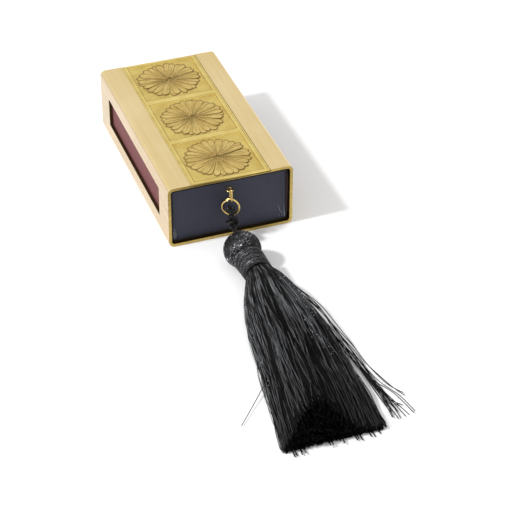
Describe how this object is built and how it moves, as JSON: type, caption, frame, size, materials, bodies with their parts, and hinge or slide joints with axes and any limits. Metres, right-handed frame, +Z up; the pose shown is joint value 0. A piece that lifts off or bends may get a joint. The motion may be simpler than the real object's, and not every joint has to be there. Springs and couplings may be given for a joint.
{
  "type": "matchbox holder",
  "caption": "Brass matchbox holder, an open-ended sleeve with an embossed flower panel and side windows, round a matchbox whose drawer has a black tassel pull.",
  "frame": {"origin": "centre of the brass sleeve's underside, on the table", "axes": "+X across the sleeve, +Y along it away from the pull, +Z up; the tassel lies towards -Y"},
  "size_m": [0.066, 0.2815, 0.035],
  "materials": {
    "brass": "satin",
    "embossed_brass": "satin",
    "card": "matte",
    "striker": "rough",
    "greyboard": "matte",
    "bookcloth": "ribbed",
    "splint_wood": "raw",
    "match_head": "matte",
    "wire_brass": "polished",
    "cord_black": "satin",
    "bead_wood": "raw",
    "net_black": "satin",
    "thread_black": "satin"
  },
  "bodies": {
    "sleeve": {"brass_sleeve": "brass", "flower_panel": "embossed_brass"},
    "matchbox": {"carton": "card", "striker_left": "striker", "striker_right": "striker"},
    "tray": {"tray_board": "greyboard", "tray_wrap": "bookcloth", "match_sticks": "splint_wood", "match_heads": "match_head", "split_pin": "wire_brass"},
    "link": {"small_link": "wire_brass"},
    "ring": {"jump_ring": "wire_brass"},
    "tassel": {"tassel_cord": "cord_black", "cord_knot": "cord_black", "head_bead": "bead_wood", "head_cover": "net_black", "neck_binding": "thread_black", "skirt": "thread_black"}
  },
  "joints": [
    {"name": "matchbox_slide", "type": "slide", "parent": "sleeve", "child": "matchbox", "axis": [0, -1, 0], "range_m": [0, 0.12]},
    {"name": "tray_slide", "type": "slide", "parent": "matchbox", "child": "tray", "axis": [0, -1, 0], "range_m": [0, 0.1]},
    {"name": "link_swing", "type": "hinge", "parent": "tray", "child": "link", "pos_m": [-0.0006, -0.06196, 0.0277], "axis": [-1, 0, 0], "range_deg": [0, 85]},
    {"name": "ring_swivel", "type": "hinge", "parent": "link", "child": "ring", "pos_m": [-0.0006, -0.06196, 0.0231], "axis": [0, 0, 1], "range_deg": [-8, 50]},
    {"name": "tassel_swing", "type": "hinge", "parent": "ring", "child": "tassel", "pos_m": [-0.00116, -0.06286, 0.01457], "axis": [-1, 0, 0], "range_deg": [-75, 40]}
  ]
}
